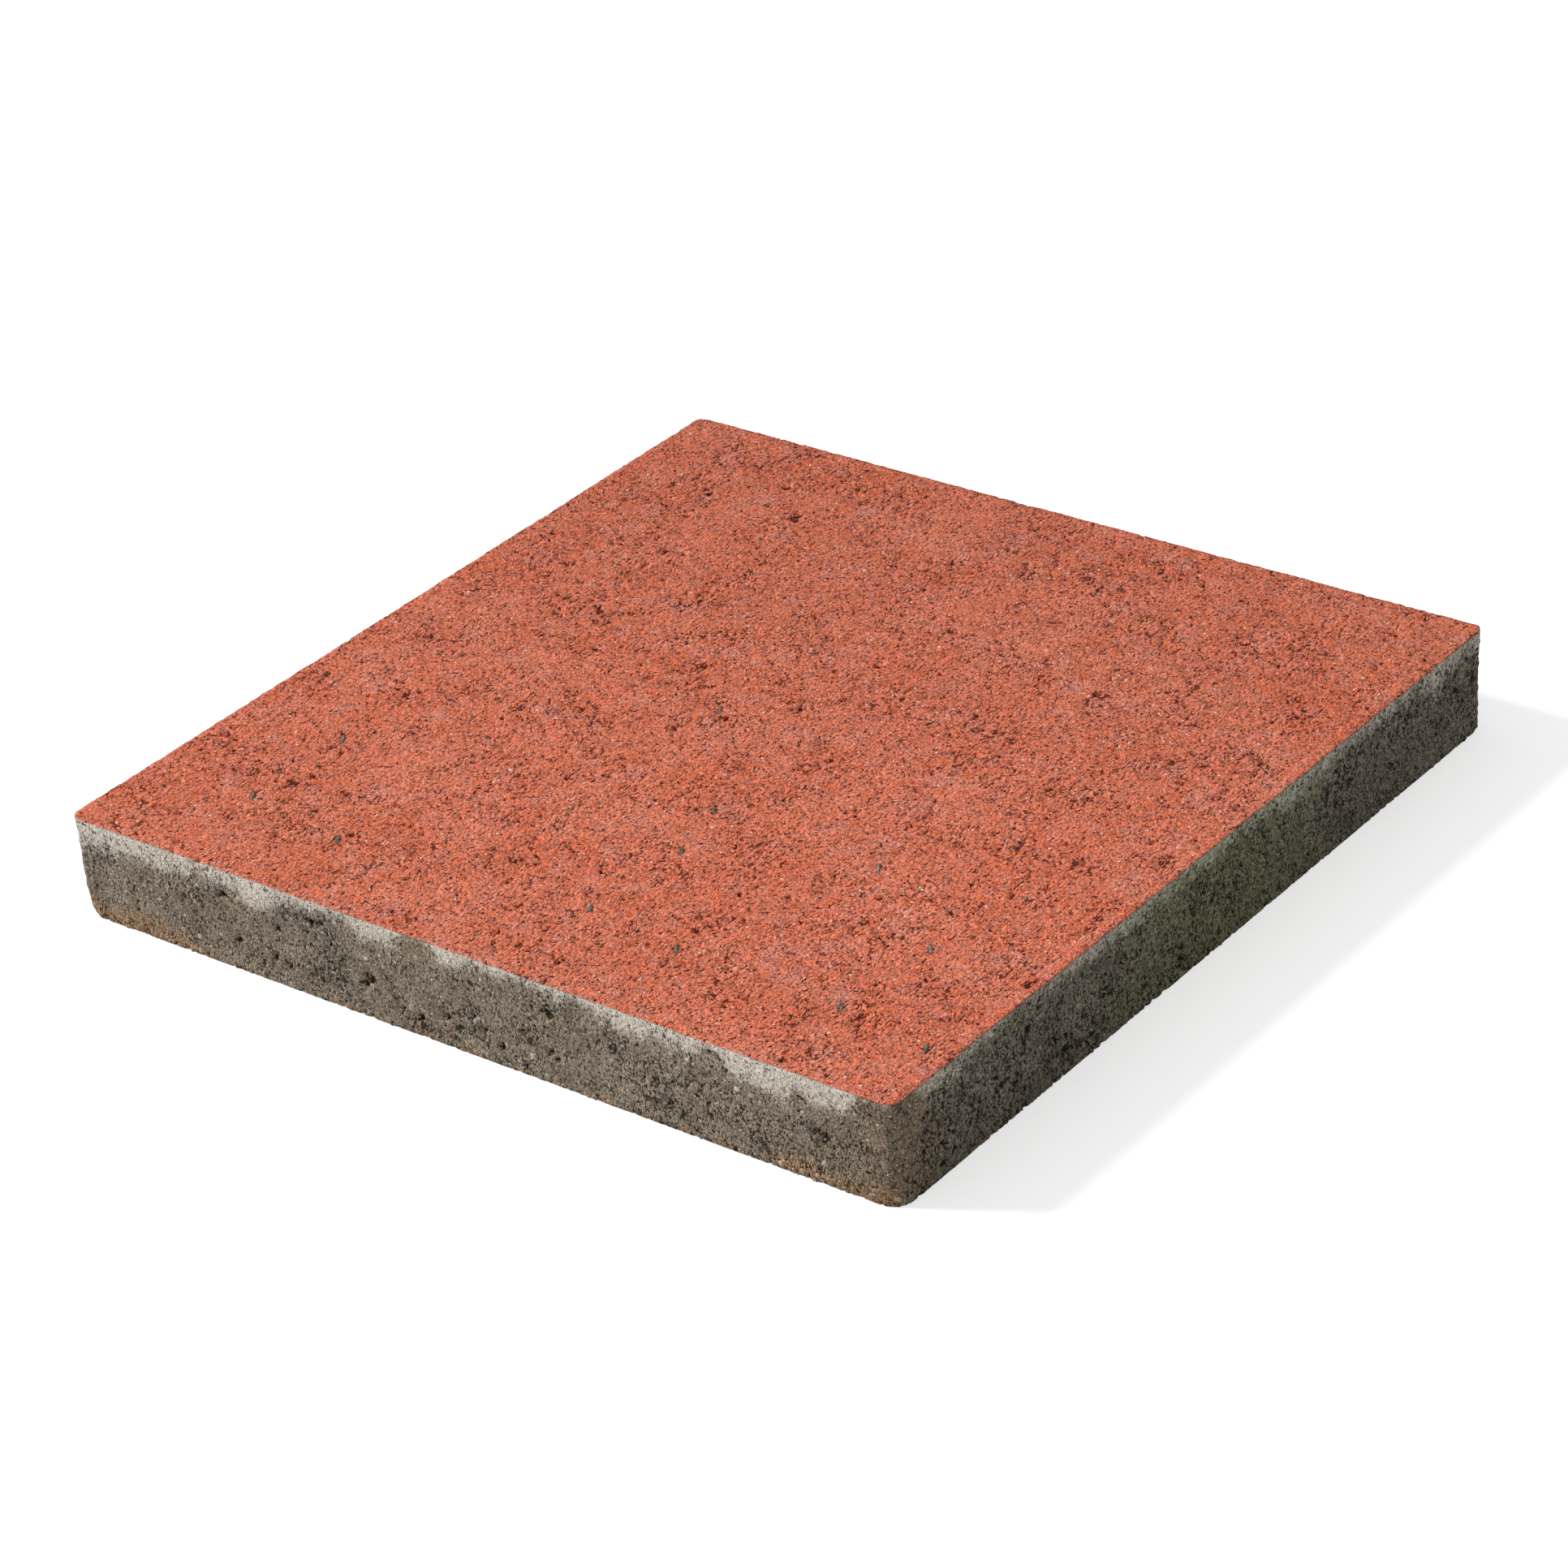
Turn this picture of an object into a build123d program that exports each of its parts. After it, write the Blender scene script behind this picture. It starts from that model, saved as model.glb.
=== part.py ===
from build123d import *
import os

# A square concrete paving stone, cast in one piece: upright sides, a flat walking face and a flat bed.
# Frame: origin at the centre of the bed, X and Y along the sides, +Z up to the walking face.

# Driving dimensions, in millimetres
length = 400.0  # along X
width = 400.0  # along Y
thickness = 45.0  # from the bed up to the walking face
face_corner_radius = 5.0  # plan radius of the upright corners where they reach the walking face
bed_corner_radius = 9.0  # plan radius of the same corners down at the bed
face_arris = 0.6  # rounding along the rim of the walking face
bed_arris = 1.2  # rounding along the rim of the bed


def corner_waste(height, corner_radius):
    """The sliver outside the rounding of the +X +Y corner, as a flat sketch at one height."""
    corner = Vector(length / 2, width / 2)
    x_side_end = corner - Vector(0, corner_radius)
    y_side_end = corner - Vector(corner_radius, 0)
    rim = Polyline(y_side_end, corner, x_side_end) + RadiusArc(x_side_end, y_side_end, -corner_radius)
    return Plane.XY.offset(height) * make_face(rim)


def rounded_off_corners():
    """What the four upright corners lose: each rounding opens out from the face down to the bed."""
    bed = corner_waste(0, bed_corner_radius)
    face = corner_waste(thickness, face_corner_radius)
    front_and_back = [loft([bed, face], ruled=True)]
    front_and_back += [mirror(front_and_back[0], Plane.XZ)]
    return front_and_back + [mirror(waste, Plane.YZ) for waste in front_and_back]


def round_rim(stone, height, radius):
    """Rounds the whole loop of edges that lies at one height of the stone."""
    rim = stone.edges().filter_by_position(Axis.Z, height - radius / 2, height + radius / 2)
    return fillet(rim, radius)


def paving_slab():
    """The cast body: a square block with flared corner roundings and a fine arris top and bottom."""
    stone = extrude(Rectangle(length, width), thickness) - rounded_off_corners()
    stone = round_rim(stone, thickness, face_arris)
    return round_rim(stone, 0, bed_arris)


os.makedirs("parts", exist_ok=True)
export_step(paving_slab(), "parts/paving_slab.step")
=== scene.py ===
from math import ceil, cos, pi, radians, sin, sqrt

import bmesh
import bpy
import numpy as np
from mathutils import Matrix, Vector
from mathutils.bvhtree import BVHTree


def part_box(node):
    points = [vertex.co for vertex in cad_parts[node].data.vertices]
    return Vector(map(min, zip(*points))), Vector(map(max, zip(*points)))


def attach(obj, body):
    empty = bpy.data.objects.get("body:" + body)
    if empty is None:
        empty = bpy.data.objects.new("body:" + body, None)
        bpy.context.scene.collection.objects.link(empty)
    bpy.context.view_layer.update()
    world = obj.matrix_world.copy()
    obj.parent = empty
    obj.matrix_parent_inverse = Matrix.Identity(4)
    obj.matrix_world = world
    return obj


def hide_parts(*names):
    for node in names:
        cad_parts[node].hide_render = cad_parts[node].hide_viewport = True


# The looks of a square concrete paving stone: a granular red walking face, grey porous sides, a plain bed.
# Lengths are in millimetres up to the point where a mesh is made, and in metres after it.
# The front is the side towards -Y and the right side the one towards +X. The camera sees both.

MM = 0.001

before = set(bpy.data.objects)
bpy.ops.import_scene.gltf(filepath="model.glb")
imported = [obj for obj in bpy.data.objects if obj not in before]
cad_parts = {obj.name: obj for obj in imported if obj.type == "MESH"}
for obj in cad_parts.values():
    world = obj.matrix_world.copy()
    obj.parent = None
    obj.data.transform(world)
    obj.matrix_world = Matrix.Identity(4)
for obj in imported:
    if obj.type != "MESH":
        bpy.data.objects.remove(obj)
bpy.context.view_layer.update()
box_low, box_high = [np.array(corner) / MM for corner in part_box("paving_slab")]
half_side = (box_high[0] - box_low[0]) / 2
thickness = box_high[2] - box_low[2]

# The plain form under the relief
face_corner_radius = 5.0
bed_corner_radius = 9.0
face_arris = 0.6
bed_arris = 0.8

# The left corners hardly open out to the bed, and their foot is worn. All corners have a calmer rim.
left_corner_fill = 0.85  # share of the opening out that is filled up there
corner_wear = 2.4  # how far the foot is worn inside the plain form
corner_wear_height = 10.0
rim_corner_calm = 0.65  # share of the relief that the rim of a corner lacks

# The dense grid that takes the relief, and the mesh that is kept of it
grid_spacing = 0.75
arris_steps = 3
body_triangles = 190_000
relief_reach = 4.0  # how far past an edge the relief of one face still moves the next one

# How wide the relief's features are
coarse_pit_cell = 7.5
fine_pit_cell = 3.6
coarse_sand_cell = 3.0
crack_size = 9.0
warp_size = 5.0  # the pits lie bent in waves of this size, by up to half of warp_reach
warp_reach = 2.6
struck_turn = radians(-8)  # from the y axis to the way in which the walking face was struck off

# Cloudy fields: their size, detail, roughness and shift. Pits and gaps crowd together where crowd is high.
clouds = {"crowd": (24.0, 1.0, 0.5, 3.1), "ragged": (2.6, 2.0, 0.6, 16.0), "swell": (42.0, 2.0, 0.5, 1.3),
          "ripple": (9.0, 3.0, 0.6, 8.8), "tone": (34.0, 4.0, 0.6, 12.0), "bloom": (12.0, 3.0, 0.65, 20.0),
          "stain": (15.0, 3.0, 0.6, 50.0)}

# How deep the features are in the walking face, the sides and the bed. Dips lie between coarse sand.
face_depths = {"swell": 0.35, "ripple": 0.45, "coarse_depth": 1.5, "middle": 0.7, "crack": 0.8, "dip": 0.25}
side_depths = {"coarse_depth": 1.9, "middle": 1.0, "crack": 0.9, "dip": 0.40}
bed_depths = {"ripple": 0.5, "coarse_depth": 1.0, "middle": 0.4, "dip": 0.15}
raised = 0.15  # lifts the relief, so that its highest places reach the plain form
smooth_rim = 3.0  # the sides are smoothest down to this far under the walking face,
porous_from = 13.0  # and fully porous from this far under it
rim_porosity = 0.25  # share of the pores' depth that is left under the rim
side_swell = 0.2
chip_height = 3.5  # the foot of the sides is chipped up to this height
chip_depth = 0.9
foot_height = 5.0  # under this height the sides come out again, by foot_lift at the ground
foot_lift = 0.35
listed_pit_depth = 1.8
sliver_bed_depth = 0.4

# What the relief's group measures, and what is stored on the stone for its material. The material paints
# shade into the pits, pores and cracks that it marks, and onto the right side.
measured_fields = ["face_depth", "side_depth", "bed_depth", "hollow_shade", "drip", *clouds]
body_marks = [
    "hollow_shade", "crowd", "tone", "bloom", "stain", "pale", "ochre", "brown", "green", "dark", "painted_side_shade",
]

# How far the pale cement skin reaches down from the rim, as (place along the side, reach)
front_pale_reach = [
    (-200, 14), (-190, 13), (-176, 12), (-160, 10), (-148, 8), (-130, 7), (-120, 9), (-110, 11), (-98, 10),
    (-84, 4), (-62, 3), (-52, 6), (-42, 10), (-33, 8), (-26, 1), (-16, 1), (-9, 6), (0, 5), (8, 4),
    (30, 4), (38, 5), (48, 5), (54, 2), (62, 5), (74, 8), (100, 9), (110, 7), (117, 4), (124, 7),
    (131, 12), (140, 14), (151, 13), (158, 9), (168, 8), (175, 10), (181, 7), (186, 0), (200, -4),
]
right_pale_reach = [
    (-200, -3), (-186, 0), (-178, 8), (-165, 9), (-158, 4), (-140, 2), (-120, 2), (-100, 4), (-88, 6),
    (-50, 6), (-20, 5), (0, 7), (40, 6), (60, 9), (75, 6), (120, 6), (140, 5), (148, 3), (156, 8),
    (162, 14), (172, 12), (180, 7), (200, 10),
]

# The larger pores of the two sides that show, as (place along the side, height, radius)
front_pores = [
    (-120, 32, 2.0), (-115, 14, 1.6), (-96, 12, 1.8), (-93, 26, 1.6), (-89, 10, 2.0), (-75, 34, 2.0),
    (-70, 35, 1.8), (-50, 15, 2.2), (-47, 17, 2.6), (-23, 8, 1.9), (-9, 13, 1.8), (9, 13, 1.6),
    (17, 9, 1.7), (29, 19, 1.5), (42, 31, 2.8), (41, 14, 1.9), (44, 12, 1.6), (65, 27, 1.4), (97, 11, 1.9),
    (118, 40, 1.3), (122, 39, 1.3), (158, 34, 1.6), (164, 22, 2.2), (168, 20, 2.6), (171, 17, 1.6),
]
right_pores = [
    (-183, 16, 1.6), (-173, 5, 2.0), (-172, 13, 2.4), (-168, 17, 1.8), (-138, 21, 2.4), (-119, 31, 1.7),
    (-103, 18, 2.0), (-96, 10, 2.5), (-78, 35, 1.1), (-72, 35, 1.2), (-66, 35, 1.1), (-59, 26, 1.7),
    (-41, 35, 1.4), (21, 26, 1.7), (64, 23, 1.7), (67, 7, 1.5), (88, 19, 1.9), (119, 37, 1.4),
    (128, 17, 1.7), (129, 26, 1.7), (141, 31, 2.0), (151, 39, 1.6), (178, 27, 2.0),
]

# The larger pits of the walking face, as (x, y, radius)
face_pits = [
    (-190, -120, 2.0), (-184, -121, 1.5), (-148, -96, 1.5), (-136, -128, 2.0), (-8, -120, 1.7),
    (-12, -119, 1.4), (66, -42, 1.4), (69, -46, 1.3), (132, -128, 1.5), (6, 54, 1.8), (-118, 70, 1.6),
    (-68, -140, 1.5), (66, -114, 1.4), (100, -60, 1.3), (-115, -132, 1.6), (178, -100, 1.4),
    (-184, 60, 1.6), (-124, 164, 1.8), (57, 142, 1.8), (166, 110, 1.6), (118, 146, 1.5),
]

# Dark stone slivers in the walking face: places (x, y), the way they lie, half sizes and colour
sliver_places = [
    (-146.7, -151.7), (-145.8, -99.7), (-94.8, -159.7), (26.8, -99.5), (-28.2, -5.5), (18.8, -69.2),
    (23.0, -149.8), (68.9, -155.9), (99.5, -71.9), (150.2, -108.6), (145.0, -156.5), (187.7, -163.3),
]
sliver_way = radians(124)
sliver_half_sizes = np.array([3.6, 0.95, 0.6])
sliver_proud = 0.55
sliver_colour = np.array([0.20, 0.172, 0.132])

# Kinds of sand grain that show, as (share, colour)
face_kinds = [
    (0.31, (0.82, 0.196, 0.090)), (0.19, (0.78, 0.30, 0.21)), (0.17, (0.60, 0.235, 0.175)),
    (0.19, (0.42, 0.086, 0.047)), (0.04, (0.12, 0.05, 0.04)), (0.032, (0.88, 0.76, 0.67)),
    (0.06, (0.70, 0.40, 0.26)),
]
large_face_kinds = face_kinds[:5]  # none of the larger grains is white
side_kinds = [
    (0.34, (0.40, 0.35, 0.285)), (0.32, (0.28, 0.24, 0.19)), (0.12, (0.48, 0.36, 0.25)),
    (0.13, (0.10, 0.085, 0.07)), (0.05, (0.24, 0.15, 0.10)), (0.04, (0.60, 0.54, 0.46)),
]

# The sand grains that are modelled, as (subdivisions of a ball, count, least and most half length)
face_sand = ((1, 6800, 0.6, 1.15), (2, 620, 1.1, 2.1))
side_sand = ((1, 6900, 0.6, 1.2), (2, 560, 1.2, 2.3))
deepest_seat = 1.25  # no grain of the walking face sits deeper than this
ray_start = 5.0  # rays that seat the grains start this far outside the stone
grain_margin = 2.0  # no grain sits closer to an upright corner
grain_lean = 0.35  # how far a grain follows the slope under it, against 1 for the whole face
grain_lightness = (0.82, 1.18)
foot_grain_share = 0.12  # this share of the grains of the sides sits at the very foot

# How the marks of the sides tint the grains that sit there, as (mark, share, colour of a middling grain).
# The right side's mark darkens its grains as painted shade.
side_tints = [
    ("ochre", 0.6, (0.43, 0.255, 0.135)), ("pale", 0.75, (0.50, 0.45, 0.39)),
    ("painted_side_shade", 0.8, (0.155, 0.141, 0.110)), ("green", 0.55, (0.164, 0.164, 0.094)),
]
middling_grey = 0.3

# How wide the finer sand is that only the material shows, and the gaps between its grains, coarser on the
# right side that is painted in shade
drawn_sand = 0.85
drawn_fine_sand = 0.5
drawn_gap = 0.95
drawn_shaded_side_gap = 1.8

# Colours of the walking face: its clouds go from the first red to the second, and the rest lies over them
face_reds = (0.650, 0.154, 0.080), (0.705, 0.202, 0.120)
face_rose = (0.585, 0.235, 0.180)
face_orange = (0.76, 0.160, 0.060)
face_bloom = (0.66, 0.28, 0.22)
face_bright_sand = (0.90, 0.24, 0.115)
face_white_sand = (0.90, 0.76, 0.68)
# The dark of the face's pits, cracks and gaps between grains: painted shade
face_gap_shade = (0.070, 0.008, 0.003)
back_tone = [(-120, 1.02), (190, 0.90)]  # the face is darker to the back, as (y, share of its colour)

# Colours of the sides and the bed: clouds of plain grey, a darker copy of them as painted shade on the
# right side, and what lies over them
plain_greys = (0.215, 0.173, 0.130), (0.310, 0.254, 0.192)
painted_shade_greys = (0.146, 0.129, 0.097), (0.236, 0.209, 0.160)
dark_patch = (0.15, 0.130, 0.102)
green_film = (0.180, 0.179, 0.094)
brown_stain = (0.200, 0.141, 0.094)
ochre_stain = (0.358, 0.204, 0.104)
cement_skin = (0.66, 0.59, 0.51)
green_cement_skin = (0.54, 0.56, 0.41)
tan_sand = (0.52, 0.43, 0.33)
# The dark of the pits, pores and gaps of the sides and the bed: painted shade
side_gap_shade = (0.016, 0.012, 0.008)

# Where the stone's faces lie on its flat map of 1 by 1: left, near, and the map's length for a millimetre
flat_map_name = "OFBake"
face_on_map = (0.005, 0.005, 0.575 / 400)
bed_on_map = (0.59, 0.005, 0.40 / 400)
sides_on_map = (0.005, 0.59, 0.86 / 400)
side_step_on_map = 0.1005

# The studio: a key lamp and an even fill, each with the brightness it gives a white surface
key_strength = 0.92
key_spread = radians(12)
key_from = Vector((-0.72, -0.34, 0.60))
fill_strength = 0.45
floor_grey = 0.8
floor_glow = 0.55  # to the camera only, so that the floor is white there except in the stone's shadow

upward = np.array([0.0, 0.0, 1.0])
downward = np.array([0.0, 0.0, -1.0])
random = np.random.default_rng(7)


class Nodes:
    """Adds nodes to one tree. All methods but add give back outputs of the nodes they add."""

    def __init__(self, tree):
        self.tree = tree

    def add(self, kind, inputs, settings=None):
        """Adds one node, with a socket or a value for each input."""
        node = self.tree.nodes.new(kind)
        for name, value in (settings or {}).items():
            setattr(node, name, value)
        for key, value in inputs.items():
            if isinstance(value, bpy.types.NodeSocket):
                self.tree.links.new(value, node.inputs[key])
            else:
                node.inputs[key].default_value = value
        return node

    def math(self, operation, *values):
        return self.add("ShaderNodeMath", dict(enumerate(values)), {"operation": operation}).outputs[0]

    def times(self, a, b):
        return self.math("MULTIPLY", a, b)

    def plus(self, a, b):
        return self.math("ADD", a, b)

    def minus(self, a, b):
        return self.math("SUBTRACT", a, b)

    def most(self, a, b):
        return self.math("MAXIMUM", a, b)

    def total(self, *values):
        result = values[0]
        for value in values[1:]:
            result = self.plus(result, value)
        return result

    def vector_math(self, operation, inputs):
        return self.add("ShaderNodeVectorMath", inputs, {"operation": operation}).outputs[0]

    def scaled(self, vector, factor):
        return self.vector_math("SCALE", {0: vector, "Scale": factor})

    def moved(self, vector, offset):
        return self.vector_math("ADD", {0: vector, 1: offset})

    def stretched(self, vector, factors):
        return self.vector_math("MULTIPLY", {0: vector, 1: factors})

    def turned(self, vector, angle):
        """Turns a vector about the z axis."""
        inputs = {"Vector": vector, "Angle": angle}
        return self.add("ShaderNodeVectorRotate", inputs, {"rotation_type": "Z_AXIS"}).outputs[0]

    def parts(self, vector):
        node = self.add("ShaderNodeSeparateXYZ", {0: vector})
        return node.outputs[0], node.outputs[1], node.outputs[2]

    def stored(self, name, output):
        """What the mesh stores under a name. The output is Fac, Vector or Color."""
        return self.add("ShaderNodeAttribute", {}, {"attribute_name": name}).outputs[output]

    def fade(self, value, start, end, low=0.0, high=1.0):
        """Goes smoothly from low to high while value goes from start to end."""
        inputs = {"Value": value, "From Min": start, "From Max": end, "To Min": low, "To Max": high}
        return self.add("ShaderNodeMapRange", inputs, {"interpolation_type": "SMOOTHSTEP"}).outputs[0]

    def pattern_place(self, at, size, shift):
        """Places in units of a pattern's size, shifted to another part of the pattern."""
        return self.moved(self.scaled(at, 1 / size), (shift, shift, shift))

    def noise(self, at, size, detail=2.0, rough=0.5, shift=0.0):
        """Cloudy noise from 0 to 1, with features about as wide as size."""
        place = self.pattern_place(at, size, shift)
        inputs = {"Vector": place, "Scale": 1.0, "Detail": detail, "Roughness": rough}
        return self.add("ShaderNodeTexNoise", inputs).outputs["Fac"]

    def noise_vector(self, at, size):
        """Three cloudy numbers from 0 to 1."""
        inputs = {"Vector": self.pattern_place(at, size, 0.0), "Scale": 1.0, "Detail": 1.0}
        return self.add("ShaderNodeTexNoise", inputs).outputs["Color"]

    def cells(self, at, size, shift):
        """Cells about size wide: the distance to a centre, and three random numbers of its cell."""
        inputs = {"Vector": self.pattern_place(at, size, shift), "Scale": 1.0}
        node = self.add("ShaderNodeTexVoronoi", inputs)
        return node.outputs["Distance"], *self.parts(node.outputs["Color"])

    def mix(self, factor, a, b):
        """Blends two numbers."""
        return self.add("ShaderNodeMix", {0: factor, 2: a, 3: b}, {"data_type": "FLOAT"}).outputs[0]

    def blend(self, factor, a, b, mode="MIX"):
        """Blends two colours, each of them a socket or three numbers."""
        a, b = [colour if isinstance(colour, bpy.types.NodeSocket) else (*colour, 1) for colour in (a, b)]
        settings = {"data_type": "RGBA", "blend_type": mode}
        return self.add("ShaderNodeMix", {0: factor, 6: a, 7: b}, settings).outputs[2]


# Meshes with named values

def mesh_from(name, places, faces):
    """A mesh from arrays: places in metres, faces with the same number of corners each."""
    mesh = bpy.data.meshes.new(name)
    corners = faces.shape[1]
    mesh.vertices.add(len(places))
    mesh.vertices.foreach_set("co", places.astype(np.float32).ravel())
    mesh.loops.add(faces.size)
    mesh.loops.foreach_set("vertex_index", faces.astype(np.int32).ravel())
    mesh.polygons.add(len(faces))
    mesh.polygons.foreach_set("loop_start", np.arange(0, faces.size, corners, dtype=np.int32))
    mesh.update(calc_edges=True)
    mesh.shade_smooth()
    return mesh


def keep(mesh, name, values):
    """Stores one number or one vector for each vertex of a mesh."""
    kind, key = ("FLOAT", "value") if values.ndim == 1 else ("FLOAT_VECTOR", "vector")
    layer = mesh.attributes.new(name, kind, "POINT")
    layer.data.foreach_set(key, values.astype(np.float32).ravel())


def kept(mesh, name):
    """What a mesh stores for its vertices under a name, such as position."""
    layer = mesh.attributes[name]
    wide = 3 if layer.data_type == "FLOAT_VECTOR" else 1
    values = np.empty(len(mesh.vertices) * wide, np.float32)
    layer.data.foreach_get("vector" if wide == 3 else "value", values)
    return values.reshape(-1, 3) if wide == 3 else values


def corners_of(mesh):
    """The number of the vertex at each corner of each face."""
    found = np.empty(len(mesh.loops), np.int32)
    mesh.loops.foreach_get("vertex_index", found)
    return found


def lay_flat(mesh, places_on_map):
    """Stores a flat map on a mesh, with a place for each corner of its faces."""
    layer = mesh.uv_layers.new(name=flat_map_name)
    layer.uv.foreach_set("vector", places_on_map.astype(np.float32).ravel())


def place_in_scene(name, mesh):
    piece = bpy.data.objects.new(name, mesh)
    bpy.context.scene.collection.objects.link(piece)
    return piece


def evaluated(piece):
    """A copy of the piece's mesh with its modifiers applied. The piece then has none."""
    graph = bpy.context.evaluated_depsgraph_get()
    mesh = bpy.data.meshes.new_from_object(piece.evaluated_get(graph), depsgraph=graph)
    piece.modifiers.clear()
    return mesh


# The plain form

def corner_radius(height):
    return bed_corner_radius + (face_corner_radius - bed_corner_radius) * height / thickness


def plan(across, along, inset, radius):
    """Maps the square from -1 to 1 onto a rounded square that lies inset inside the plan of the stone."""
    half = half_side - inset
    straight = half - (radius - inset)
    x, y = across * half, along * half
    out_x, out_y = x - np.clip(x, -straight, straight), y - np.clip(y, -straight, straight)
    reach = np.hypot(out_x, out_y)
    pull = np.maximum(np.abs(out_x), np.abs(out_y)) / np.maximum(reach, 1e-9)
    return x + out_x * (pull - 1), y + out_y * (pull - 1)


def side_rows():
    """The inset and height of each loop round the sides, from under the face to above the bed."""
    turns = [pi / 2 * step / arris_steps for step in range(1, arris_steps + 1)]
    rows = [(face_arris * (1 - sin(turn)), thickness - face_arris * (1 - cos(turn))) for turn in turns]
    straight = thickness - face_arris - bed_arris
    count = round(straight / grid_spacing)
    rows += [(0.0, thickness - face_arris - straight * step / count) for step in range(1, count + 1)]
    rows += [(bed_arris * (1 - cos(turn)), bed_arris * (1 - sin(turn))) for turn in turns[:-1]]
    return rows


def plain_block():
    """The stone without relief as a closed grid of quads: places in millimetres, and faces."""
    cells = round(2 * half_side / grid_spacing)
    line = np.linspace(-1, 1, cells + 1)
    across, along = [grid.ravel() for grid in np.meshgrid(line, line, indexing="ij")]
    number = np.arange((cells + 1) ** 2).reshape(cells + 1, cells + 1)
    ring = np.concatenate([number[:-1, 0], number[-1, :-1], number[:0:-1, -1], number[0, :0:-1]])

    def level(picked_across, picked_along, inset, height):
        x, y = plan(picked_across, picked_along, inset, corner_radius(height))
        return np.stack([x, y, np.full_like(x, height)], 1)

    layers = [level(across, along, face_arris, thickness)]
    layers += [level(across[ring], along[ring], inset, height) for inset, height in side_rows()]
    layers += [level(across, along, bed_arris, 0.0)]
    starts = np.cumsum([0] + [len(layer) for layer in layers])

    corners = [number[:-1, :-1], number[1:, :-1], number[1:, 1:], number[:-1, 1:]]
    face = np.stack(corners, -1).reshape(-1, 4)
    loops = [ring] + [start + np.arange(len(ring)) for start in starts[1:-2]] + [ring + starts[-2]]
    quads = [face, face[:, ::-1] + starts[-2]]
    for upper, lower in zip(loops, loops[1:]):
        quads.append(np.stack([upper, lower, np.roll(lower, -1), np.roll(upper, -1)], 1))
    return np.concatenate(layers), np.concatenate(quads)


def outward_from(places):
    """The level way out of the nearest side, and the distance to it, up to the corner radius."""
    radius = corner_radius(places[:, 2])
    straight = (half_side - radius)[:, None]
    out = places[:, :2] - np.clip(places[:, :2], -straight, straight)
    reach = np.hypot(out[:, 0], out[:, 1])
    return out / np.maximum(reach, 1e-9)[:, None], radius - reach


def on_walking_face(places):
    return places[:, 2] > thickness - 0.1


# The relief's fields, as nodes

def struck_way(n, at, face_stretch=0.7, side_stretch=0.75):
    """Places drawn out along the way the face was struck off, and upright on the sides."""
    on_face = n.fade(n.parts(at)[2], thickness - 0.6, thickness - 0.4)
    upright = n.stretched(at, (1.1, 1.1, side_stretch))
    struck = n.stretched(n.turned(at, struck_turn), (1.0, face_stretch, 1.0))
    return n.add("ShaderNodeMix", {0: on_face, 4: upright, 5: struck}, {"data_type": "VECTOR"}).outputs[1]


def relief(n, at):
    """The relief's fields at a place in millimetres."""
    field = {name: n.noise(at, *settings) for name, settings in clouds.items()}
    field["drip"] = n.noise(n.stretched(at, (1.0, 1.0, 0.3)), 6.0, 3.0, 0.6, 31.0)
    warp = n.moved(n.noise_vector(at, warp_size), (-0.5, -0.5, -0.5))
    bent = n.moved(struck_way(n, at), n.scaled(warp, warp_reach))
    crowded = n.times(field["crowd"], 0.35)

    # Pits: gaps where sand grains are missing, in two sizes
    distance, size, chance, depth = n.cells(bent, coarse_pit_cell, 1.7)
    radius = n.times(n.fade(size, 0.0, 1.0, 0.07, 0.19), n.fade(field["crowd"], 0.3, 0.7, 0.8, 1.15))
    active = n.fade(n.plus(chance, crowded), 0.725, 0.785)
    coarse = n.times(n.fade(n.math("DIVIDE", distance, radius), 1.3, 0.5), active)
    field["coarse_depth"] = n.times(coarse, n.plus(depth, 0.5))

    distance, size, chance, _ = n.cells(bent, fine_pit_cell, 9.2)
    radius = n.fade(size, 0.0, 1.0, 0.14, 0.30)
    active = n.fade(n.plus(chance, crowded), 0.61, 0.68)
    field["middle"] = n.times(n.fade(n.math("DIVIDE", distance, radius), 1.3, 0.5), active)

    # Rows of gaps that read as short cracks
    drawn_out = struck_way(n, at, 0.4, 0.6)
    line = n.math("ABSOLUTE", n.minus(n.noise(drawn_out, crack_size, 1.0, shift=7.3), 0.5))
    broken = n.fade(n.noise(at, 4.5, 1.0, shift=2.2), 0.46, 0.56)
    broken = n.times(broken, n.fade(field["crowd"], 0.50, 0.62))
    field["crack"] = n.times(n.fade(line, 0.035, 0.01), broken)
    # Where the pits and cracks are, which the material darkens as painted shade
    field["hollow_shade"] = n.most(n.most(coarse, field["crack"]), n.times(field["middle"], 0.9))
    field["dip"] = n.minus(1.0, n.fade(n.cells(bent, coarse_sand_cell, 6.6)[0], 0.7, 0.0))
    return field


def depth_of(n, field, depths):
    """How deep the named features are together, in millimetres."""
    return n.total(*[n.times(field[name], depth) for name, depth in depths.items()])


def side_depth(n, field, height):
    """How far the sides lie inside the plain form: smooth at the rim, porous below, chipped at foot."""
    porous = n.fade(height, thickness - smooth_rim, thickness - porous_from)
    pores = n.plus(depth_of(n, field, side_depths), n.minus(field["ripple"], 0.42))
    chips = n.times(n.fade(height, chip_height, 0.5), n.fade(field["ragged"], 0.50, 0.66))
    return n.total(
        n.times(field["swell"], side_swell),
        n.times(pores, n.plus(rim_porosity, n.times(porous, 1 - rim_porosity))),
        n.times(chips, chip_depth),
        n.fade(height, foot_height, 0.0, 0.0, -foot_lift),
        -raised,
    )


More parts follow.
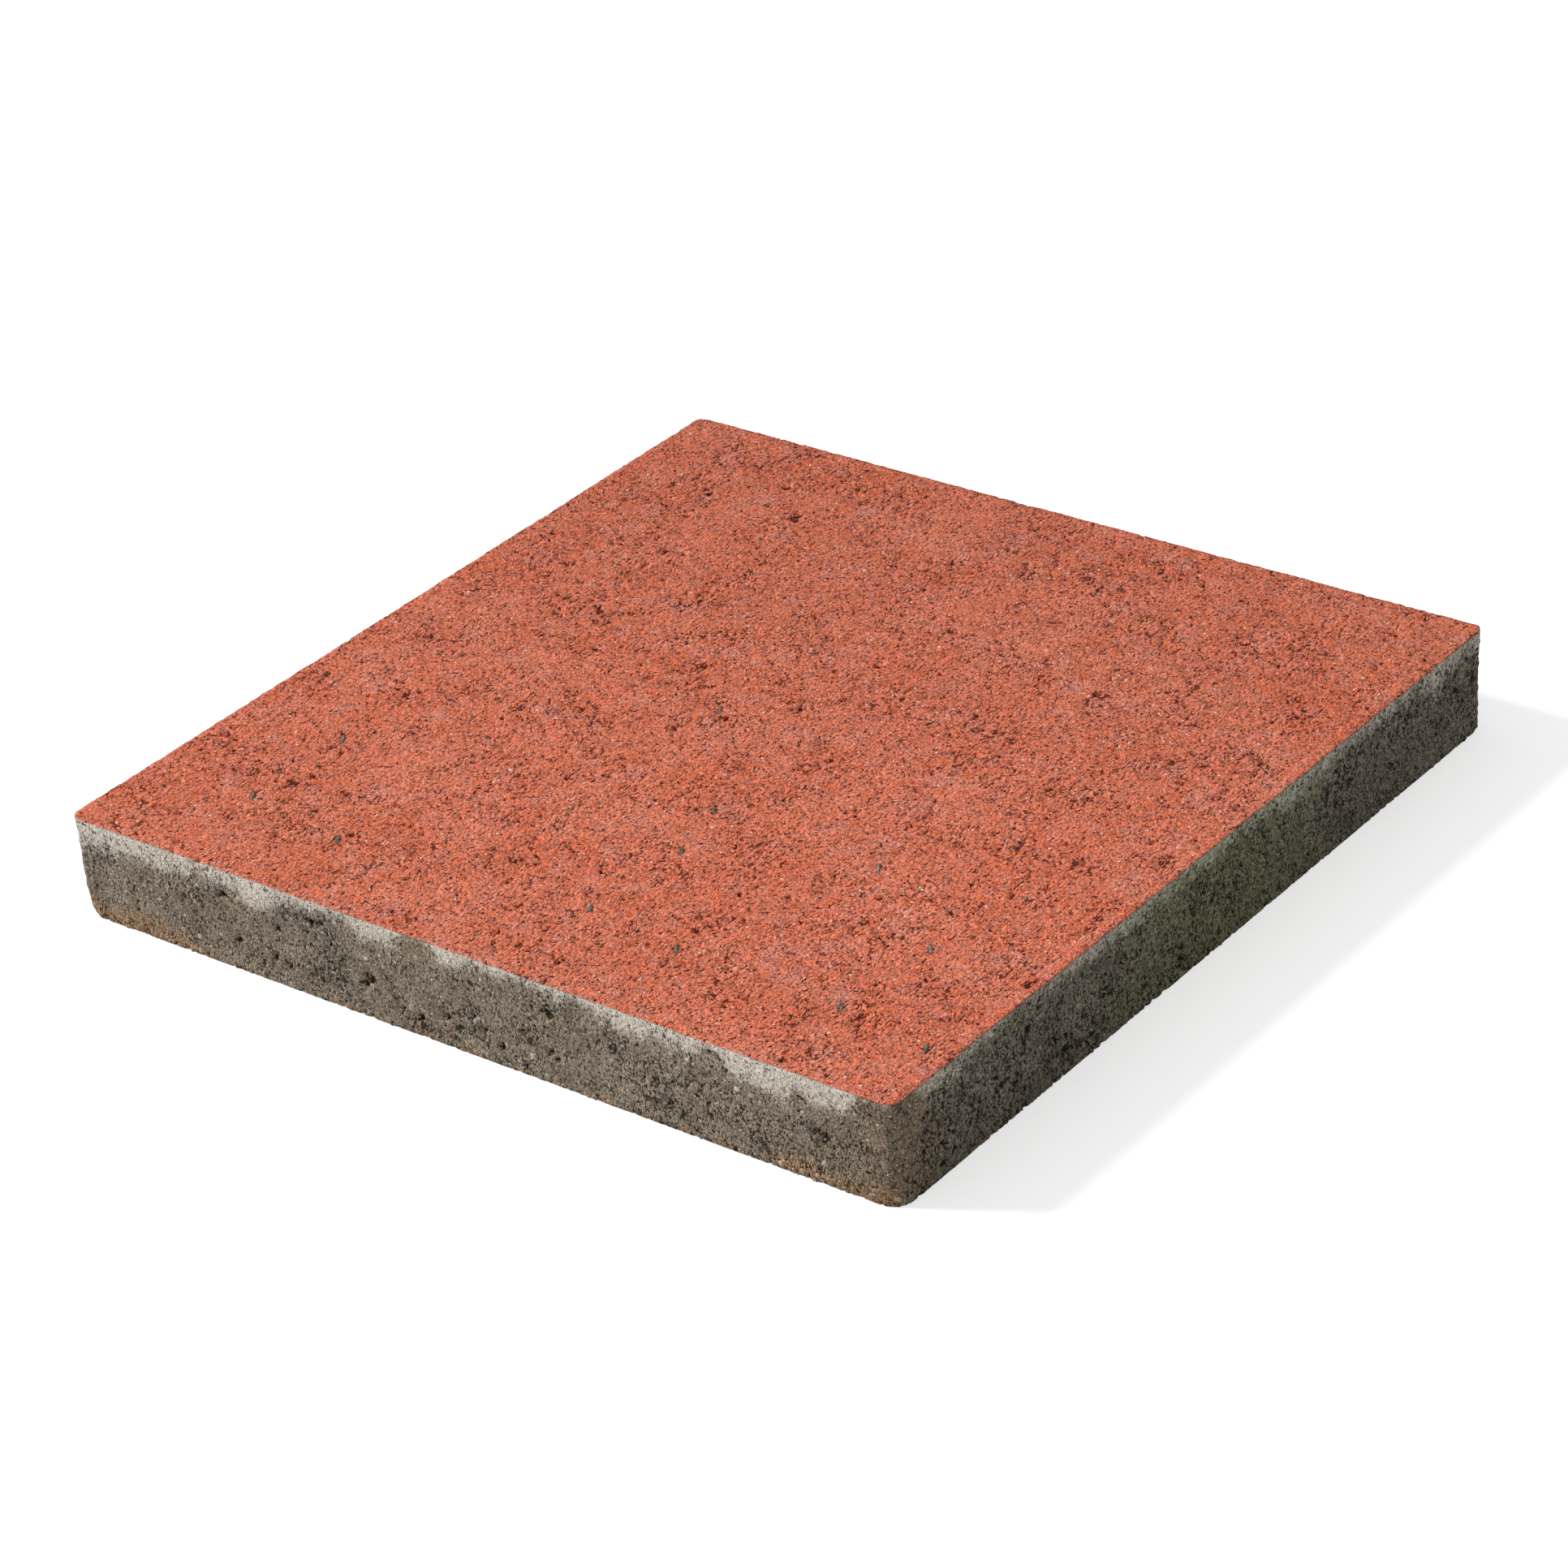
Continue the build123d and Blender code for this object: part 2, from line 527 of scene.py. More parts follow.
def field_group():
    """A geometry group that stores the relief's fields on a mesh whose places are in millimetres."""
    tree = bpy.data.node_groups.new("relief_fields", "GeometryNodeTree")
    for way in ("INPUT", "OUTPUT"):
        tree.interface.new_socket("Geometry", in_out=way, socket_type="NodeSocketGeometry")
    n = Nodes(tree)
    at = n.add("GeometryNodeInputPosition", {}).outputs[0]
    field = relief(n, at)
    field["face_depth"] = n.plus(depth_of(n, field, face_depths), -raised)
    field["side_depth"] = side_depth(n, field, n.parts(at)[2])
    field["bed_depth"] = n.plus(depth_of(n, field, bed_depths), -raised)
    geometry = tree.nodes.new("NodeGroupInput").outputs[0]
    for name in measured_fields:
        inputs = {"Geometry": geometry, "Name": name, "Value": field[name]}
        geometry = n.add("GeometryNodeStoreNamedAttribute", inputs).outputs["Geometry"]
    n.add("NodeGroupOutput", {0: geometry})
    return tree


# The relief on the plain form

def smooth(value):
    share = np.clip(value, 0, 1)
    return share * share * (3 - 2 * share)


def fading(distance):
    """1 on the face that the relief belongs to, 0 at relief_reach from it."""
    return smooth(1 - distance / relief_reach)


def round_pits(along, up, pits, ragged):
    """How deep places lie in the nearest pit, from 0 outside to 1 in the middle, with ragged walls."""
    found = np.zeros_like(along)
    for centre_along, centre_up, radius in pits:
        distance = np.hypot(along - centre_along, up - centre_up) / radius
        near = distance < 2.5
        wall = (ragged[near] - 0.5) * 2.4
        found[near] = np.maximum(found[near], smooth(1.35 - distance[near] + wall))
    return found


def add_listed_pits(places, field):
    """Deepens the fields at the pores and pits that are listed above, and marks them for painted shade."""
    outward, from_side = outward_from(places)
    x, y, height = places.T
    on_side = from_side < 1.0
    on_front = on_side & (outward[:, 1] < -0.8)
    on_right = on_side & (outward[:, 0] > 0.8)
    listed = [(on_front, x, height, front_pores, "side_depth"),
              (on_right, y, height, right_pores, "side_depth"),
              (on_walking_face(places), x, y, face_pits, "face_depth")]
    for chosen, along, up, pits, depth in listed:
        found = round_pits(along[chosen], up[chosen], pits, field["ragged"][chosen])
        field[depth][chosen] += found * listed_pit_depth
        field["hollow_shade"][chosen] = np.maximum(field["hollow_shade"][chosen], found)


def add_sliver_beds(places, field):
    """Sinks a narrow bed for each sliver in the walking face, and marks a ring round it for a painted
    shadow.
    """
    half_length, half_width, _ = sliver_half_sizes
    chosen = on_walking_face(places)
    x, y = places[chosen, 0], places[chosen, 1]
    found = np.zeros_like(x)
    for centre_x, centre_y in sliver_places:
        along = (x - centre_x) * cos(sliver_way) + (y - centre_y) * sin(sliver_way)
        across = (y - centre_y) * cos(sliver_way) - (x - centre_x) * sin(sliver_way)
        distance = np.hypot(along / (half_length + 0.3), across / (half_width + 0.5))
        found = np.maximum(found, smooth(2.2 - 1.5 * distance))
    field["face_depth"][chosen] += found * sliver_bed_depth
    # The ring round each sliver, which the material darkens as a painted shadow
    field["hollow_shade"][chosen] = np.maximum(field["hollow_shade"][chosen], found * 0.8)


def carved(places, field):
    """The plain places moved inwards by the depths, which fade out past the edges they share."""
    outward, from_side = outward_from(places)
    height = places[:, 2]
    at_corner = smooth(2 * np.abs(outward[:, 0] * outward[:, 1]))
    calm = 1 - rim_corner_calm * at_corner * fading(thickness - height)
    filled = left_corner_fill * (sqrt(2) - 1) * (corner_radius(height) - face_corner_radius)
    foot = np.clip(1 - height / corner_wear_height, 0, 1)
    worn = (corner_wear + filled) * (1 - np.sqrt(1 - foot * foot)) - filled
    side_move = np.maximum(field["side_depth"], 0) * calm + worn * at_corner * (outward[:, 0] < 0)
    side_move = fading(from_side) * side_move
    result = places.copy()
    result[:, :2] -= outward * side_move[:, None]
    result[:, 2] -= fading(thickness - height) * np.maximum(field["face_depth"], 0) * calm
    from_edge = smooth(from_side / bed_corner_radius)
    result[:, 2] += fading(height) * from_edge * np.maximum(field["bed_depth"], 0)
    return result


# Stains and wear of the colour, and painted shade on the right side

def bump_between(value, start, end, soft):
    """1 between start and end, and 0 further than soft outside them."""
    return smooth((value - start) / soft + 1) * smooth((end - value) / soft + 1)


def side_marks(places, field):
    """Where the sides are pale, ochre, brown, green and dark, and where the right side gets painted shade,
    each from 0 to 1.
    """
    outward, _ = outward_from(places)
    x, y, height = places.T
    front = smooth(-outward[:, 1] * 3 - 1)
    right = smooth(outward[:, 0] * 3 - 1)
    under_rim = thickness - height
    wander = (field["drip"] - 0.5) * 20
    reach = 6.0 + (field["swell"] - 0.5) * 26
    reach = reach + (np.interp(x, *np.array(front_pale_reach).T) - reach) * front
    reach = reach + (np.interp(y, *np.array(right_pale_reach).T) - reach) * right
    pale = smooth((reach + wander - under_rim) / 12 + 0.5) * smooth(1.25 - under_rim / 26)
    pale = np.maximum(pale, 0.75 * smooth(1.2 - under_rim / 3.0) * smooth(reach / 4 + 0.1))
    pale = pale * (1 - 0.2 * right)

    ends = smooth((np.abs(x - 5) - 125) / 30)
    ochre_reach = 3.0 + (field["swell"] - 0.5) * 16
    ochre_reach = ochre_reach + (2.2 + ends * 7.0 - ochre_reach) * front
    ochre_reach = ochre_reach - right * 1.0
    patchy = wander * 0.4 + (field["bloom"] - 0.5) * 16
    ochre = smooth((ochre_reach + patchy - height) / 10 + 0.4) * (1 - 0.35 * right)

    # The near corner is brown on both of its sides, and gets less painted shade than the rest of the right
    # side
    to_corner = np.hypot(x - half_side, y + half_side)
    brown = smooth(1.25 - to_corner / 36) * smooth(0.35 + field["stain"] * 1.3)
    rim_stain = front * bump_between(x, -27, -16, 5) * smooth(1.4 - under_rim / 9)
    # The right side gets painted shade, fading out towards the near corner
    painted_side_shade = right * smooth((y + half_side - 1) / 26)
    green = (0.12 + 0.88 * smooth(1.25 - np.abs(y - 5) / 80 + (field["stain"] - 0.5))) * right
    dark = front * bump_between(x, -92, -62, 8) * smooth(1.3 - np.abs(height - 33) / 10)
    return {"pale": pale, "ochre": ochre, "brown": np.maximum(brown, rim_stain), "green": green,
            "dark": dark, "painted_side_shade": painted_side_shade}


# The stone

def body_on_map(mesh):
    """The walking face and the bed as two squares, and the four sides as strips."""
    at = kept(mesh, "rest").astype(float)[corners_of(mesh)]
    centre = np.repeat(at.reshape(-1, 3, 3).mean(1), 3, axis=0)

    def square(left, near, scale):
        return np.array([left, near]) + (at[:, :2] + half_side) * scale

    outward, _ = outward_from(at)
    centre_outward, _ = outward_from(centre)
    side = np.round(np.arctan2(centre_outward[:, 1], centre_outward[:, 0]) / (pi / 2))
    turn = side * pi / 2
    along = at[:, 1] * np.cos(turn) - at[:, 0] * np.sin(turn)
    past = outward[:, 1] * np.cos(turn) - outward[:, 0] * np.sin(turn)
    radius = corner_radius(at[:, 2])
    round_corner = radius * np.arcsin(np.clip(past, -1, 1))
    along = np.clip(along, radius - half_side, half_side - radius) + round_corner
    left, near, scale = sides_on_map
    strip_near = near + side % 4 * side_step_on_map
    strips = np.stack([left + (along + half_side) * scale, strip_near + at[:, 2] * scale], 1)
    on_face = centre[:, 2:] > thickness - 0.3 * face_arris
    on_bed = centre[:, 2:] < 0.3 * bed_arris
    return np.where(on_face, square(*face_on_map), np.where(on_bed, square(*bed_on_map), strips))


def stone_body():
    """The whole stone as one closed mesh, with its relief in the geometry."""
    places, faces = plain_block()
    piece = place_in_scene("stone_body", mesh_from("plain", places, faces))
    piece.modifiers.new("fields", "NODES").node_group = field_group()
    measured = evaluated(piece)
    field = {name: kept(measured, name) for name in measured_fields}
    add_listed_pits(places, field)
    add_sliver_beds(places, field)
    field.update(side_marks(places, field))

    dense = mesh_from("dense", carved(places, field) * MM, faces)
    keep(dense, "rest", places)
    for name in body_marks:
        keep(dense, name, field[name])
    piece.data = dense
    thinned = piece.modifiers.new("thinned", "DECIMATE")
    thinned.ratio = body_triangles / (2 * len(faces))
    thinned.use_collapse_triangulate = True
    final = evaluated(piece)
    final.name = "stone_body"
    piece.data = final

    inside = np.clip(kept(final, "position"), box_low * MM, box_high * MM)
    final.vertices.foreach_set("co", inside.astype(np.float32).ravel())
    final.update()
    final.shade_smooth()
    lay_flat(final, body_on_map(final))
    return piece


# Sand grains and slivers

def ball(subdivisions):
    """A unit ball of 20 triangles for one subdivision, four times as many for each one more."""
    shape = bmesh.new()
    bmesh.ops.create_icosphere(shape, subdivisions=subdivisions, radius=1.0)
    places = np.array([vertex.co[:] for vertex in shape.verts])
    faces = np.array([[vertex.index for vertex in face.verts] for face in shape.faces])
    shape.free()
    return places, faces


def ball_on_map(shape):
    """The upper half of a ball as a disc in a cell of 1 by 1, the lower half as a small disc."""
    places, faces = shape
    corner = places[faces]
    upper = (corner.mean(1)[:, 2] >= 0)[:, None, None]
    from_pole = np.arccos(np.clip(np.where(upper, 1, -1) * corner[..., 2:], -1, 1)) / radians(125)
    level = np.linalg.norm(corner[..., :2], axis=2, keepdims=True)
    disc = corner[..., :2] / np.maximum(level, 1e-9) * from_pole
    return np.where(upper, 0.5 + 0.46 * disc, 0.08 + 0.07 * disc)


def surface_of(piece):
    """The triangles of a piece for ray casts, and the number of the first corner of each."""
    corners = corners_of(piece.data).reshape(-1, 3)
    return BVHTree.FromPolygons(kept(piece.data, "position").tolist(), corners.tolist()), corners[:, 0]


def seated(surface, starts, ways):
    """Where rays meet the stone in millimetres, its way out there, and the nearest vertex."""
    tree, first_corner = surface
    hits = [tree.ray_cast(Vector(start * MM), Vector(way)) for start, way in zip(starts, ways)]
    hits = [hit for hit in hits if hit[0] is not None]
    seats = np.array([hit[0][:] for hit in hits]) / MM
    return seats, np.array([hit[1][:] for hit in hits]), first_corner[[hit[2] for hit in hits]]


def flattened(out, wanted):
    """Ways out turned towards the wanted one, so that lumps lie flush with their face."""
    mixed = out * grain_lean + wanted
    return mixed / np.linalg.norm(mixed, axis=1)[:, None]


def lumps(shape, seats, outs, half_sizes, proud, spins, roughness):
    """Copies of a ball, squeezed, spun and roughened, each proud of its seat: places and faces."""
    base, faces = shape
    count = len(seats)
    jitter = random.uniform(1 - roughness, 1 + roughness, (count, len(base), 1))
    local = base[None] * jitter * half_sizes[:, None]
    helper = np.where(np.abs(outs[:, :1]) < 0.8, np.array([[1.0, 0, 0]]), np.array([[0, 1.0, 0]]))
    first = np.cross(outs, helper)
    first /= np.linalg.norm(first, axis=1)[:, None]
    second = np.cross(outs, first)
    along = first * np.cos(spins)[:, None] + second * np.sin(spins)[:, None]
    across = np.cross(outs, along)
    centres = seats + outs * (proud - half_sizes[:, 2])[:, None]
    places = centres[:, None] + local[..., :1] * along[:, None] + local[..., 1:2] * across[:, None]
    places = places + local[..., 2:] * outs[:, None]
    numbers = faces[None] + (np.arange(count) * len(base))[:, None, None]
    return places.reshape(-1, 3), numbers.reshape(-1, 3)


def joined_lumps(name, groups):
    """One piece of all the groups of lumps, each with its ball, places, faces and colours."""
    all_places, all_faces, all_shades, all_discs, start = [], [], [], [], 0
    count = sum(len(group[3]) for group in groups)
    across = ceil(sqrt(count))
    cells = np.array([across, ceil(count / across)])
    placed = 0
    for shape, places, faces, shades in groups:
        cell = placed + np.arange(len(shades))
        corner = np.stack([cell % across, cell // across], 1)[:, None, None]
        all_discs.append(((ball_on_map(shape)[None] + corner) / cells).reshape(-1, 2))
        all_places.append(places)
        all_faces.append(faces + start)
        all_shades.append(np.repeat(shades, len(places) // len(shades), 0))
        start += len(places)
        placed += len(shades)
    places = np.clip(np.concatenate(all_places), box_low, box_high)
    mesh = mesh_from(name, places * MM, np.concatenate(all_faces))
    keep(mesh, "rest", places)
    keep(mesh, "shade", np.concatenate(all_shades))
    lay_flat(mesh, np.concatenate(all_discs))
    return place_in_scene(name, mesh)


def drawn_kinds(kinds, count):
    """A colour for each of count grains, drawn from (share, colour) kinds and varied a little."""
    shares = np.array([kind[0] for kind in kinds])
    colours = np.array([kind[1] for kind in kinds])
    picked = colours[random.choice(len(kinds), count, p=shares / shares.sum())]
    return picked * random.uniform(*grain_lightness, (count, 1))


def flat_grains(subdivisions, seats, outs, low, high, prouder, roughness):
    """Flat grains on their seats, low to high in half length: their ball, places and faces."""
    count = len(seats)
    long = random.uniform(low, high, count)
    wide = long * random.uniform(0.6, 1.0, count)
    proud = random.uniform(0.10, 0.26, count) * np.sqrt(wide) * prouder
    spins = random.uniform(0, 2 * pi, count)
    shape = ball(subdivisions)
    half_sizes = np.stack([long, wide, wide * 0.7], 1)
    return shape, *lumps(shape, seats, outs, half_sizes, proud, spins, roughness)


def face_grains(surface):
    """Sand grains that show in the walking face."""
    groups = []
    for subdivisions, count, low, high in face_sand:
        reach = half_side - grain_margin
        starts = random.uniform(-reach, reach, (count, 3))
        starts[:, 2] = thickness + ray_start
        seats, outs, _ = seated(surface, starts, np.tile(downward, (count, 1)))
        whole = seats[:, 2] > thickness - deepest_seat
        seats, outs = seats[whole], flattened(outs[whole], upward)
        grains = flat_grains(subdivisions, seats, outs, low, high, prouder=1.0, roughness=0.14)
        toned = np.interp(seats[:, 1], *np.array(back_tone).T)[:, None]
        kinds = face_kinds if subdivisions == 1 else large_face_kinds
        groups.append((*grains, drawn_kinds(kinds, len(seats)) * toned))
    return joined_lumps("face_grains", groups)


def side_grains(surface, body):
    """Sand grains that show in the sides, tinted by the marks of the places where they sit, darker on the
    right side as painted shade.
    """
    mark = {name: kept(body.data, name) for name, share, colour in side_tints}
    groups = []
    for subdivisions, count, low, high in side_sand:
        side = random.integers(0, 4, count)
        along = random.uniform(-half_side + grain_margin, half_side - grain_margin, count)
        height = random.uniform(0.6, thickness - 1.5, count)
        height = np.where(random.uniform(0, 1, count) < foot_grain_share, height * 0.08 + 0.5, height)
        turn = side * pi / 2
        out = np.stack([np.cos(turn), np.sin(turn), np.zeros(count)], 1).round()
        across = np.stack([-out[:, 1], out[:, 0], out[:, 2]], 1)
        starts = out * (half_side + ray_start) + across * along[:, None]
        starts[:, 2] = height
        seats, outs, near = seated(surface, starts, -out)
        level = outs * np.array([1, 1, 0])
        outs = flattened(outs, level / np.linalg.norm(level, axis=1)[:, None])
        grains = flat_grains(subdivisions, seats, outs, low, high, prouder=1.2, roughness=0.16)
        shades = drawn_kinds(side_kinds, len(seats))
        for name, share, colour in side_tints:
            amount = (mark[name][near] * share)[:, None]
            tinted = np.array(colour) * shades.mean(1)[:, None] / middling_grey
            shades = shades + (tinted - shades) * amount
        groups.append((*grains, shades))
    return joined_lumps("side_grains", groups)


def dark_slivers(surface):
    """A dozen dark stone slivers pressed into the walking face, all lying the same way."""
    starts = np.array([(x, y, thickness + ray_start) for x, y in sliver_places])
    count = len(starts)
    outs = np.tile(upward, (count, 1))
    seats, _, _ = seated(surface, starts, np.tile(downward, (count, 1)))
    half_sizes = sliver_half_sizes * random.uniform(0.9, 1.1, (count, 3))
    base, faces = ball(3)
    along = base[:, 0] ** 2
    shape = base * np.stack([np.ones(len(base)), 1 - 0.45 * along, 1 - 0.5 * along], 1), faces
    first_way = pi / 2  # the way in which lumps lays a ball with no spin
    spins = np.full(count, sliver_way - first_way) + random.uniform(-0.12, 0.12, count)
    proud = np.full(count, sliver_proud)
    places, faces = lumps(shape, seats, outs, half_sizes, proud, spins, roughness=0.05)
    shades = sliver_colour * random.uniform(0.8, 1.2, (count, 1))
    return joined_lumps("dark_slivers", [(shape, places, faces, shades)])


# Materials

def new_material(name):
    material = bpy.data.materials.new(name)
    material.use_nodes = True
    shader = material.node_tree.nodes["Principled BSDF"]
    return material, Nodes(material.node_tree), shader


def multiplied(n, colour, factor):
    grey = n.add("ShaderNodeCombineColor", {0: factor, 1: factor, 2: factor}).outputs[0]
    return n.blend(1.0, colour, grey, "MULTIPLY")


def dress(n, shader, colour, bumps, bump_reach, rough, shine):
    """Gives a material its colour, fine bumps, roughness and shine."""
    bump = n.add("ShaderNodeBump", {"Strength": 1.0, "Distance": bump_reach, "Height": bumps})
    for name, output in (("Base Color", colour), ("Normal", bump.outputs[0]), ("Roughness", rough)):
        n.tree.links.new(output, shader.inputs[name])
    shader.inputs["Specular IOR Level"].default_value = shine


def sand_fields(n, at, crowd, painted_side_shade):
    """The gaps between the sand grains and the tint of each grain, at a place on the stone."""
    place = struck_way(n, at)
    distance, tint, kind, hue = n.cells(place, drawn_sand, 4.4)
    line = n.noise(struck_way(n, at, 0.35, 0.5), 5.0, 2.0, shift=90.0)
    broken = n.times(n.fade(n.noise(at, 3.5, 1.0, shift=95.0), 0.50, 0.58), n.fade(crowd, 0.42, 0.58))
    streak = n.noise(struck_way(n, at, 0.6, 0.7), drawn_gap, 2.0, 0.6, shift=23.0)
    # The right side, which is painted in shade, has coarser gaps
    shaded_side_streak = n.noise(struck_way(n, at, 1.0, 0.85), drawn_shaded_side_gap, 4.0, 0.75, shift=27.0)
    return {
        "grit": n.noise(place, 1.0, 2.0, 0.6, shift=0.4),
        "fine": n.cells(place, drawn_fine_sand, 70.0)[1],
        "streak": n.mix(painted_side_shade, streak, shaded_side_streak),
        "cluster": n.noise(place, 5.0, 3.0, 0.65, shift=44.0),
        "crack": n.times(n.fade(n.math("ABSOLUTE", n.minus(line, 0.5)), 0.022, 0.008), broken),
        "grain": n.fade(distance, 0.62, 0.35),
        "dome": n.fade(distance, 0.75, 0.15),
        "tint": tint,
        "kind": kind,
        "hue": n.plus(n.times(hue, 0.35), n.times(n.noise(place, 2.6, 2.0, 0.6, shift=61.0), 0.65)),
    }


def face_colour(n, mark, sand, hollow_shade, back):
    """The walking face's colour, with painted shade in its pits and gaps, and where its small gaps are."""
    crowded = n.plus(sand["cluster"], n.times(n.minus(mark["crowd"], 0.5), 0.2))
    edge = n.fade(crowded, 0.35, 0.65, 0.360, 0.413)
    gap = n.fade(sand["streak"], n.plus(edge, 0.015), n.minus(edge, 0.03))
    gap = n.most(gap, n.times(sand["crack"], 0.9))
    red = n.blend(n.fade(mark["tone"], 0.3, 0.7), *face_reds)
    red = n.blend(n.fade(sand["hue"], 0.5, 0.72, 0.0, 0.8), red, face_rose)
    red = n.blend(n.fade(sand["hue"], 0.45, 0.26, 0.0, 0.7), red, face_orange)
    red = n.blend(n.times(n.fade(mark["bloom"], 0.50, 0.72), 0.5), red, face_bloom)
    bright = n.times(n.fade(sand["kind"], 0.86, 0.90), sand["grain"])
    red = n.blend(n.times(bright, 0.7), red, face_bright_sand)
    light = n.total(n.fade(sand["tint"], 0.0, 1.0, 0.76, 1.24), n.times(n.minus(sand["grit"], 0.5), 0.4),
                    n.times(n.minus(sand["fine"], 0.5), 0.75))
    red = multiplied(n, red, n.times(light, back))
    white = n.times(n.fade(sand["kind"], 0.992, 0.994), sand["grain"])
    red = n.blend(n.times(white, 0.9), red, face_white_sand)
    # Pits, cracks and gaps between grains are darkened: painted shade
    return n.blend(n.times(n.most(hollow_shade, gap), 0.94), red, face_gap_shade), gap


def side_colour(n, mark, sand, hollow_shade, patchy):
    """The colour of the sides and the bed, with painted shade in their pits and gaps and on the right side,
    and where their small gaps are.
    """
    pale, dark, painted_side_shade = mark["pale"], mark["dark"], mark["painted_side_shade"]
    crowded = n.plus(sand["cluster"], n.times(n.minus(mark["crowd"], 0.5), 0.5))
    # The right side has more dark gaps, as painted shade
    edge = n.total(n.fade(crowded, 0.33, 0.65, 0.36, 0.44), n.times(pale, -0.02), n.times(dark, 0.02),
                   n.times(painted_side_shade, 0.032))
    gap = n.fade(sand["streak"], n.plus(edge, 0.015), n.minus(edge, 0.03))
    gap = n.most(gap, n.times(sand["crack"], n.fade(pale, 0.0, 1.0, 0.9, 0.3)))
    cloud = n.fade(mark["stain"], 0.3, 0.7)
    grey = n.blend(n.times(dark, 0.35), n.blend(cloud, *plain_greys), dark_patch)
    # Painted shade on the right side: it takes a darker copy of the grey, and below it shows less ochre,
    # pale skin and tan sand
    grey = n.blend(n.times(painted_side_shade, 0.88), grey, n.blend(cloud, *painted_shade_greys))
    grey = n.blend(n.times(mark["green"], 0.7), grey, green_film)
    grey = n.blend(n.times(mark["brown"], 0.65), grey, brown_stain)
    ochre = n.fade(n.plus(mark["ochre"], n.times(patchy, 0.5)), 0.15, 0.95)
    grey = n.blend(n.times(ochre, n.mix(painted_side_shade, 0.6, 0.25)), grey, ochre_stain)
    skin = n.times(n.plus(pale, n.fade(n.plus(pale, patchy), 0.25, 0.75)), 0.5)
    cement = n.blend(mark["green"], cement_skin, green_cement_skin)
    grey = n.blend(n.times(skin, n.mix(painted_side_shade, 0.95, 0.72)), grey, cement)
    speckle = n.total(n.fade(sand["tint"], 0.0, 1.0, 0.74, 1.26), n.times(n.minus(sand["grit"], 0.5), 0.6),
                      n.minus(sand["fine"], 0.5))
    # On the right side the speckle is stronger, painted in place of the relief shading that the shade there
    # hides
    lively = n.total(1.0, n.times(skin, -0.5), n.times(painted_side_shade, 0.4))
    grey = multiplied(n, grey, n.plus(1.0, n.times(n.minus(speckle, 1.0), lively)))
    tan = n.times(n.times(n.fade(sand["kind"], 0.93, 0.94), sand["grain"]), n.mix(painted_side_shade, 0.5, 0.15))
    grey = n.blend(tan, grey, tan_sand)
    # Pits, pores and gaps are darkened, less so in the pale skin: painted shade
    hole_shade = n.times(n.most(hollow_shade, gap), n.fade(pale, 0.0, 1.0, 0.95, 0.85))
    return n.blend(hole_shade, grey, side_gap_shade), gap


def concrete():
    """The stone's own material: red on the walking face, grey on the sides and the bed."""
    material, n, shader = new_material("pigmented_concrete")
    mark = {name: n.stored(name, "Fac") for name in body_marks}
    at = n.stored("rest", "Vector")
    _, to_back, height = n.parts(at)
    sand = sand_fields(n, at, mark["crowd"], mark["painted_side_shade"])
    # How strongly the pits, pores, cracks and low places of the fine grit are darkened: painted shade
    hollow_shade = n.fade(n.plus(mark["hollow_shade"], n.times(n.minus(0.5, sand["grit"]), 2.2)), 0.62, 0.82)
    patchy = n.times(n.minus(sand["grit"], 0.5), 1.2)
    is_face = n.fade(n.plus(height, n.times(patchy, 0.4)), thickness - 0.45, thickness - 0.2)
    (front_y, front_light), (back_y, back_light) = back_tone
    back = n.fade(to_back, front_y, back_y, front_light, back_light)
    red, face_gap = face_colour(n, mark, sand, hollow_shade, back)
    grey, side_gap = side_colour(n, mark, sand, hollow_shade, patchy)

    gap = n.mix(is_face, side_gap, face_gap)
    proud = n.times(n.fade(sand["tint"], 0.0, 1.0, 0.1, 0.6), sand["dome"])
    rounding = n.times(proud, n.mix(mark["pale"], 0.8, 0.3))
    bumps = n.total(n.times(gap, -0.8), rounding, n.times(sand["grit"], 0.9))
    rough = n.fade(sand["grit"], 0.3, 0.7, 0.8, 0.98)
    dress(n, shader, n.blend(is_face, grey, red), bumps, MM, rough, 0.1)
    return material


def sand_grains():
    """Loose-set sand: each grain in its own colour, with a fine rough skin."""
    material, n, shader = new_material("sand_grains")
    at = n.stored("rest", "Vector")
    skin = n.noise(at, 0.6, 2.0, 0.6, shift=5.0)
    speck = n.cells(at, 0.5, 81.0)[1]
    light = n.plus(n.fade(skin, 0.25, 0.75, 0.70, 1.25), n.times(n.minus(speck, 0.5), 0.35))
    colour = multiplied(n, n.stored("shade", "Color"), light)
    dress(n, shader, colour, skin, 0.4 * MM, n.fade(skin, 0.3, 0.7, 0.7, 0.95), 0.15)
    return material


def sliver_stone():
    """Dark grey stone with paler layers along its length."""
    material, n, shader = new_material("sliver_stone")
    lengthwise = n.turned(n.stored("rest", "Vector"), -sliver_way)
    layers = n.noise(n.stretched(lengthwise, (0.3, 1.0, 1.0)), 0.8, 3.0, 0.6, shift=9.0)
    colour = multiplied(n, n.stored("shade", "Color"), n.fade(layers, 0.35, 0.65, 0.3, 1.5))
    dress(n, shader, colour, layers, 0.5 * MM, n.fade(layers, 0.3, 0.7, 0.6, 0.9), 0.2)
    return material


# The view and the studio

